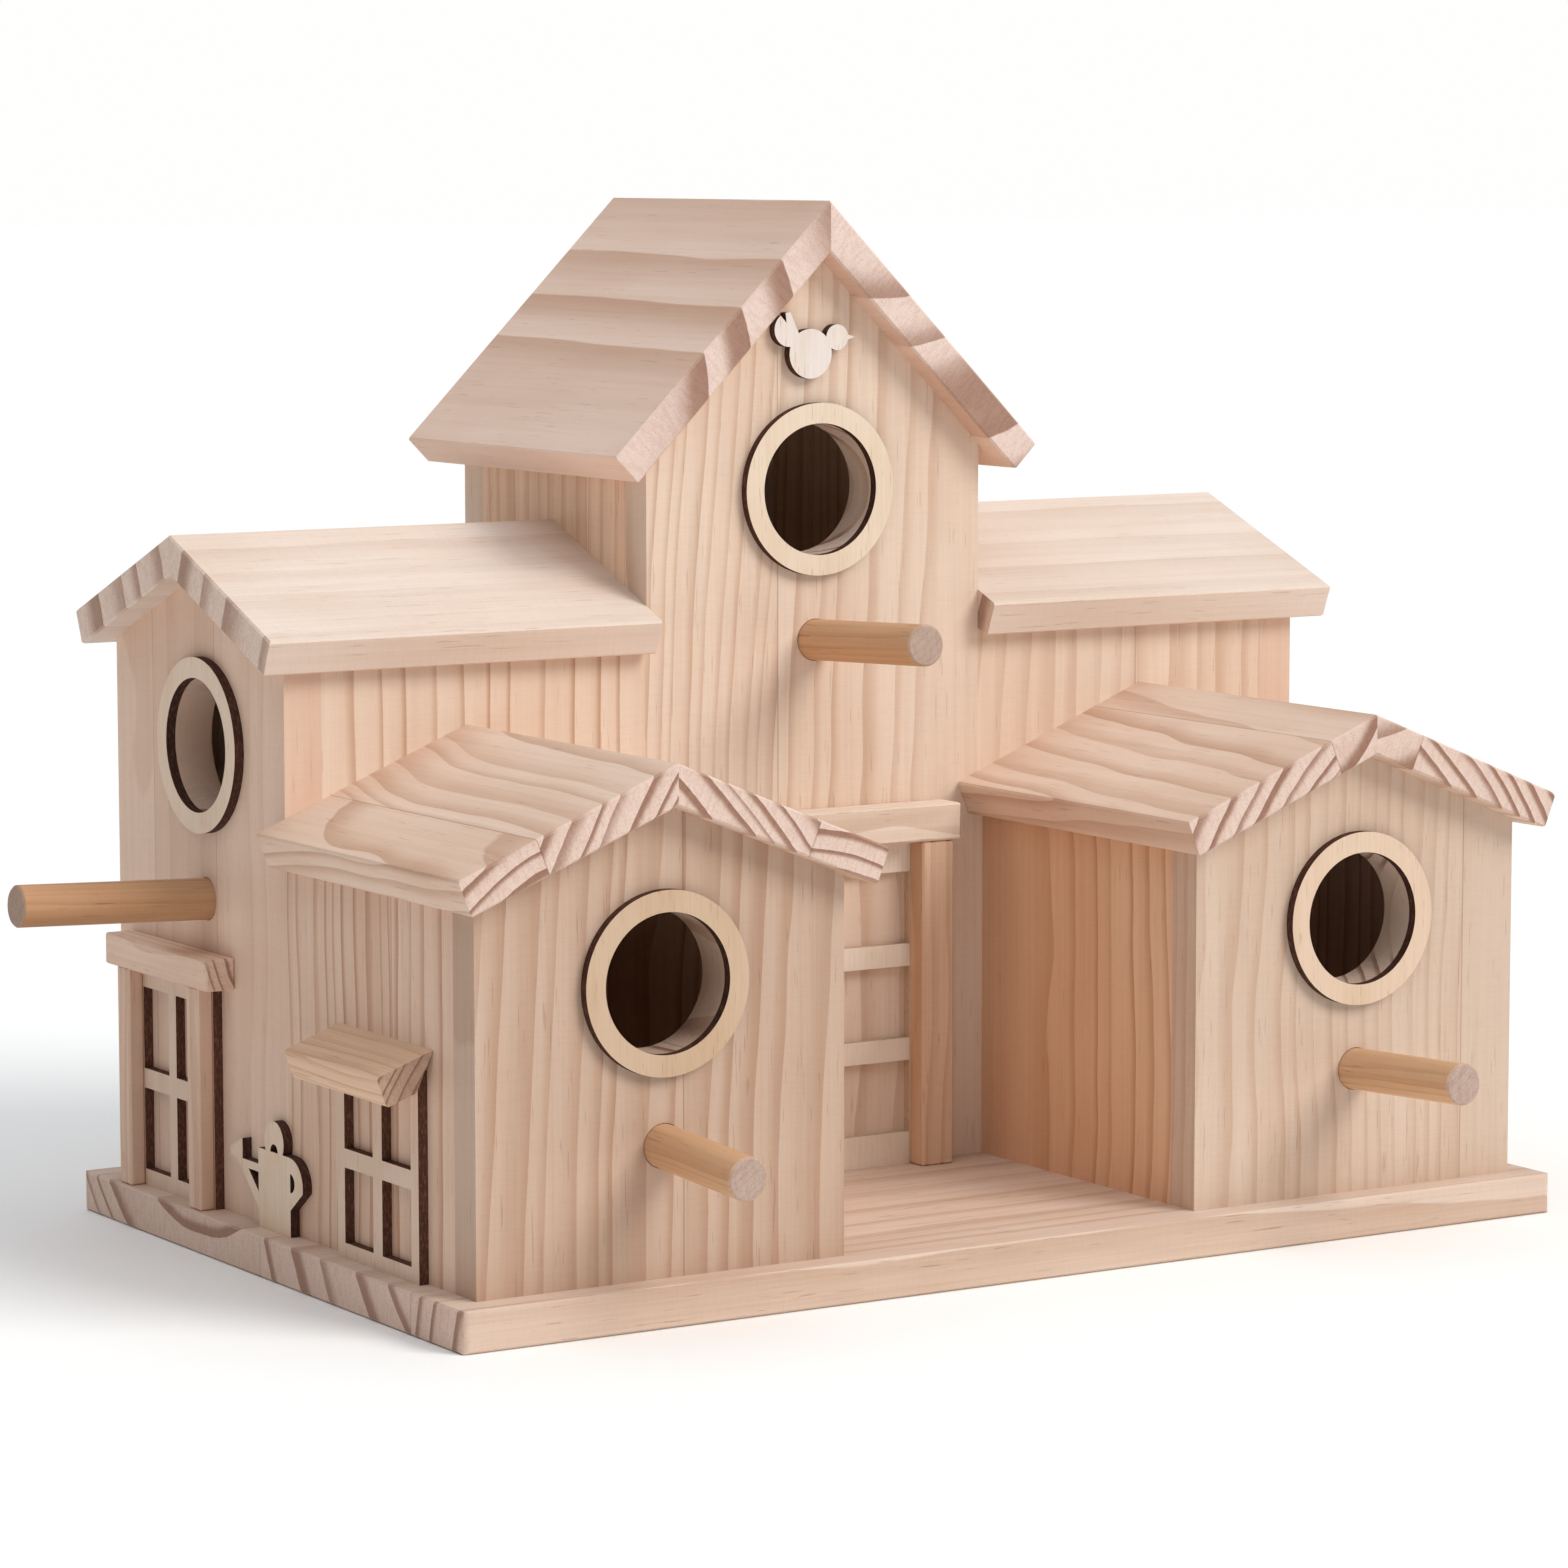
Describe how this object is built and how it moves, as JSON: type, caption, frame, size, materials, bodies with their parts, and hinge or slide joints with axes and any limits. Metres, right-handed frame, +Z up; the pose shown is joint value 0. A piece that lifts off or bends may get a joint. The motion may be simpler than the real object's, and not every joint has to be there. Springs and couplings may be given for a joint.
{
  "type": "wooden nest box",
  "caption": "Bare wooden nest box shaped as a cluster of gabled birdhouses on one base board, with round ringed entrances, dowel perches, small doors, windows and awnings.",
  "frame": {"origin": "middle of the base board's underside, where the nest box stands on a flat surface", "axes": "+X is to the right along the base board's length, +Y runs from the front gables to the back, +Z is up"},
  "size_m": [0.4844, 0.2877, 0.3096],
  "materials": {
    "base_pine": "bare pine board, sanded, no coating",
    "wall_pine": "bare edge-glued pine, sanded, no coating",
    "roof_pine": "bare edge-glued pine, sanded, end grain showing at the gables",
    "trim_pine": "bare pine strip with softened edges",
    "plywood": "thin bare plywood with darkened cut edges",
    "dowel": "bare turned dowel"
  },
  "bodies": {
    "root": {"base_board": "base_pine", "front_left_gable": "wall_pine", "front_left_outer_wall": "wall_pine", "front_left_inner_wall": "wall_pine", "front_left_outer_roof": "roof_pine", "front_left_inner_roof": "roof_pine", "front_left_ring": "plywood", "front_left_perch": "dowel", "front_right_gable": "wall_pine", "front_right_outer_wall": "wall_pine", "front_right_inner_wall": "wall_pine", "front_right_outer_roof": "roof_pine", "front_right_inner_roof": "roof_pine", "front_right_ring": "plywood", "front_right_perch": "dowel", "back_left_gable": "wall_pine", "back_left_front_wall": "wall_pine", "back_left_back_wall": "wall_pine", "back_left_front_roof": "roof_pine", "back_left_back_roof": "roof_pine", "back_left_ring": "plywood", "back_left_perch": "dowel", "back_right_gable": "wall_pine", "back_right_front_wall": "wall_pine", "back_right_back_wall": "wall_pine", "back_right_front_roof": "roof_pine", "back_right_back_roof": "roof_pine", "back_right_ring": "plywood", "back_right_perch": "dowel", "tower_front": "wall_pine", "tower_back": "wall_pine", "tower_left_wall": "wall_pine", "tower_right_wall": "wall_pine", "tower_left_roof": "roof_pine", "tower_right_roof": "roof_pine", "tower_ring": "plywood", "tower_perch": "dowel", "left_door_grid": "plywood", "left_door_front_jamb": "trim_pine", "left_door_back_jamb": "trim_pine", "left_door_lintel": "trim_pine", "right_door_grid": "plywood", "right_door_front_jamb": "trim_pine", "right_door_back_jamb": "trim_pine", "right_door_lintel": "trim_pine", "porch_door_grid": "plywood", "porch_door_left_jamb": "trim_pine", "porch_door_right_jamb": "trim_pine", "porch_door_lintel": "trim_pine", "left_window_grid": "plywood", "left_window_awning": "trim_pine", "right_window_grid": "plywood", "right_window_awning": "trim_pine", "left_watering_can": "plywood", "right_watering_can": "plywood", "bird_cutout": "plywood"}
  },
  "joints": []
}
